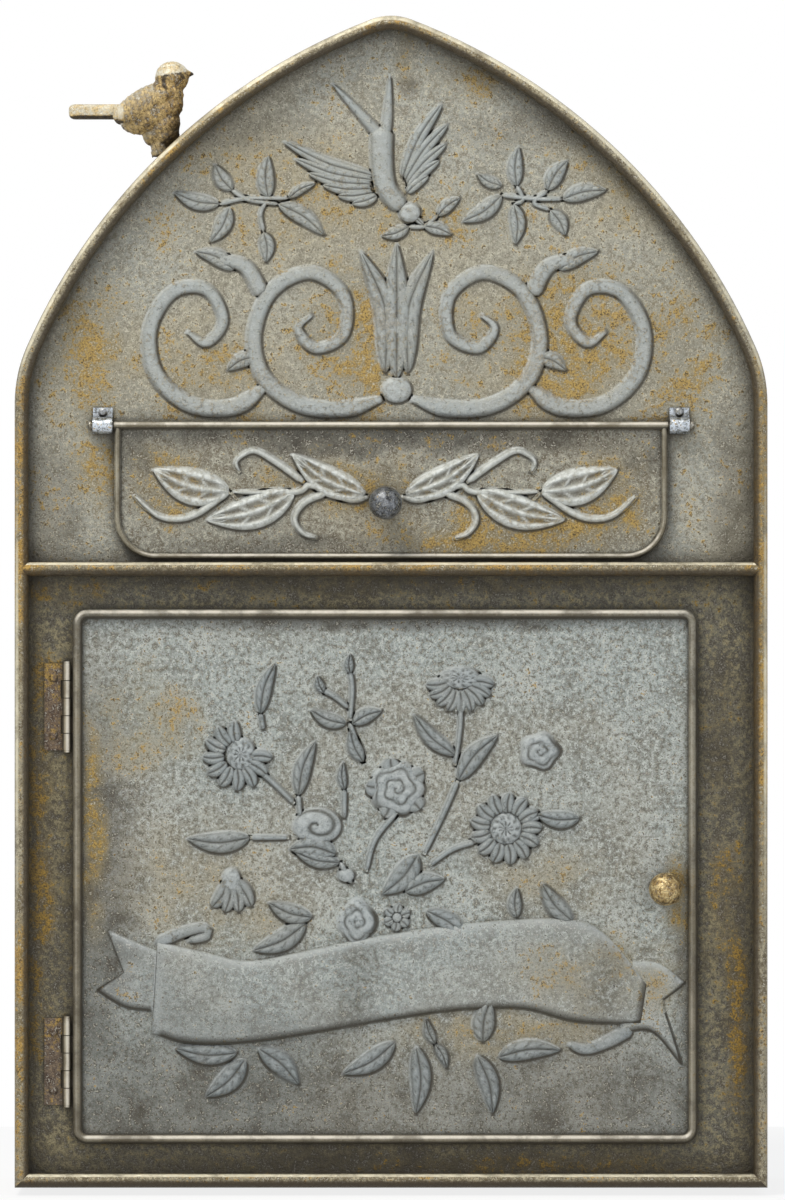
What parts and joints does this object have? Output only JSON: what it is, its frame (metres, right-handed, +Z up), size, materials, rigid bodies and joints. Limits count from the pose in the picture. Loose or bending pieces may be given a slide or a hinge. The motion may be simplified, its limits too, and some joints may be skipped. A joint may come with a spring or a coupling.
{
  "type": "wall mailbox",
  "caption": "Pointed-arch sheet-metal wall mailbox with a hinged letter flap, a side-hung door, ball knobs and a small bird on the rim.",
  "frame": {"origin": "middle of the four wall screws, on the wall plane", "axes": "+Z up, +Y into the wall, so the front faces -Y, +X to the right seen from the front"},
  "size_m": [0.2732, 0.103, 0.4224],
  "materials": {
    "aged_zinc": "weathered galvanised sheet with grime and ochre rust",
    "worn_edge": "weathered zinc rubbed bright on its crowns",
    "steel_wire": "dull drawn steel",
    "rusty_steel": "rusted hinge steel",
    "black_iron": "worn black knob",
    "gilt_iron": "worn gilt paint over cast metal",
    "magnet": "dark ferrite"
  },
  "bodies": {
    "case": {"back_plate": "aged_zinc", "left_side_strip": "aged_zinc", "right_side_strip": "aged_zinc", "left_arch_strip": "aged_zinc", "right_arch_strip": "aged_zinc", "bottom_plate": "aged_zinc", "rim_wire": "steel_wire", "bottom_wire": "steel_wire", "face_panel": "aged_zinc", "mid_rail": "worn_edge", "mid_rail_wire": "steel_wire", "door_frame": "aged_zinc", "left_flap_lug": "steel_wire", "right_flap_lug": "steel_wire", "flap_lug_rivets": "steel_wire", "upper_hinge_frame_leaf": "rusty_steel", "lower_hinge_frame_leaf": "rusty_steel", "upper_hinge_pin": "rusty_steel", "lower_hinge_pin": "rusty_steel", "hinge_rivets": "rusty_steel", "catch_bracket": "steel_wire", "catch_magnet": "magnet", "catch_rivets": "steel_wire", "bird_figure": "gilt_iron", "bird_screw": "steel_wire"},
    "flap": {"flap_panel": "aged_zinc", "flap_edge_wire": "steel_wire", "flap_rod": "steel_wire", "flap_knob": "black_iron", "flap_knob_screw": "steel_wire", "flap_knob_washer": "steel_wire"},
    "door": {"door_panel": "aged_zinc", "door_edge_wire": "steel_wire", "door_knob": "gilt_iron", "door_knob_screw": "steel_wire", "door_knob_washer": "steel_wire", "upper_hinge_door_leaf": "rusty_steel", "lower_hinge_door_leaf": "rusty_steel"}
  },
  "joints": [
    {"name": "flap_hinge", "type": "hinge", "parent": "case", "child": "flap", "pos_m": [0, -0.089, 0.0964], "axis": [-1, 0, 0], "range_deg": [0, 150]},
    {"name": "door_hinge", "type": "hinge", "parent": "case", "child": "door", "pos_m": [-0.11565, -0.0878, -0.0644], "axis": [0, 0, -1], "range_deg": [0, 135]}
  ]
}
